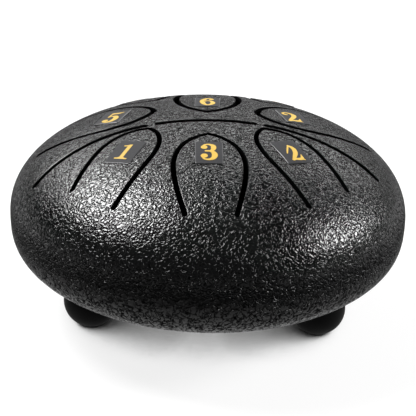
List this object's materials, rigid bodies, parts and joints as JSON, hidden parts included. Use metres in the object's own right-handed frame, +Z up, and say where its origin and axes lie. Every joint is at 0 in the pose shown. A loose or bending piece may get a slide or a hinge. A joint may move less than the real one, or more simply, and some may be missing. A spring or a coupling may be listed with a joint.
{
  "type": "steel tongue drum",
  "caption": "Small flattened steel tongue drum in black crackle paint, with leaf-shaped slotted tongues, gold-numbered labels and rubber ball feet.",
  "frame": {"origin": "on the floor under the middle of the body, midway between the sides", "axes": "+Z up along the body's axis, -Y towards the player, +X to the player's right"},
  "size_m": [0.152, 0.152, 0.0746],
  "materials": {
    "crackle_paint": "black leather-grained crackle paint, semi-gloss",
    "label_film": "smooth dark grey film",
    "foot_rubber": "smooth matte black"
  },
  "bodies": {
    "drum": {"upper_shell": "crackle_paint", "lower_shell": "crackle_paint", "seam_weld": "crackle_paint", "foot_front_left": "foot_rubber", "foot_front_right": "foot_rubber", "foot_rear": "foot_rubber"},
    "front_tongue": {"tongue_front": "crackle_paint", "label_front": "label_film"},
    "front_left_tongue": {"tongue_front_left": "crackle_paint", "label_front_left": "label_film"},
    "front_right_tongue": {"tongue_front_right": "crackle_paint", "label_front_right": "label_film"},
    "left_tongue": {"tongue_left": "crackle_paint", "label_left": "label_film"},
    "right_tongue": {"tongue_right": "crackle_paint", "label_right": "label_film"},
    "rear_tongue": {"tongue_rear": "crackle_paint", "label_rear": "label_film"},
    "rear_left_tongue": {"tongue_rear_left": "crackle_paint", "label_rear_left": "label_film"},
    "rear_right_tongue": {"tongue_rear_right": "crackle_paint", "label_rear_right": "label_film"}
  },
  "joints": [
    {"name": "front_flex", "type": "hinge", "parent": "drum", "child": "front_tongue", "pos_m": [-0.00043, -0.05829, 0.06291], "axis": [-1, 0.0073, 0], "range_deg": [-0.6, 0.6], "stiffness_Nm_per_rad": 39},
    {"name": "front_left_flex", "type": "hinge", "parent": "drum", "child": "front_left_tongue", "pos_m": [-0.04115, -0.0441, 0.06178], "axis": [-0.7311, 0.6822, 0], "range_deg": [-0.6, 0.6], "stiffness_Nm_per_rad": 41},
    {"name": "front_right_flex", "type": "hinge", "parent": "drum", "child": "front_right_tongue", "pos_m": [0.04069, -0.04275, 0.06252], "axis": [-0.7244, -0.6894, 0], "range_deg": [-0.6, 0.6], "stiffness_Nm_per_rad": 40},
    {"name": "left_flex", "type": "hinge", "parent": "drum", "child": "left_tongue", "pos_m": [-0.06252, 0.01214, 0.05962], "axis": [0.1906, 0.9817, 0], "range_deg": [-0.6, 0.6], "stiffness_Nm_per_rad": 51},
    {"name": "right_flex", "type": "hinge", "parent": "drum", "child": "right_tongue", "pos_m": [0.05812, 0.0176, 0.06154], "axis": [0.2898, -0.9571, 0], "range_deg": [-0.6, 0.6], "stiffness_Nm_per_rad": 53},
    {"name": "rear_flex", "type": "hinge", "parent": "drum", "child": "rear_tongue", "pos_m": [-0.00006, 0.05167, 0.06596], "axis": [1, 0.0012, 0], "range_deg": [-0.6, 0.6], "stiffness_Nm_per_rad": 41},
    {"name": "rear_left_flex", "type": "hinge", "parent": "drum", "child": "rear_left_tongue", "pos_m": [-0.03534, 0.05703, 0.05693], "axis": [0.85, 0.5267, 0], "range_deg": [-0.6, 0.6], "stiffness_Nm_per_rad": 57},
    {"name": "rear_right_flex", "type": "hinge", "parent": "drum", "child": "rear_right_tongue", "pos_m": [0.03443, 0.05784, 0.05673], "axis": [0.8593, -0.5114, 0], "range_deg": [-0.6, 0.6], "stiffness_Nm_per_rad": 60}
  ]
}
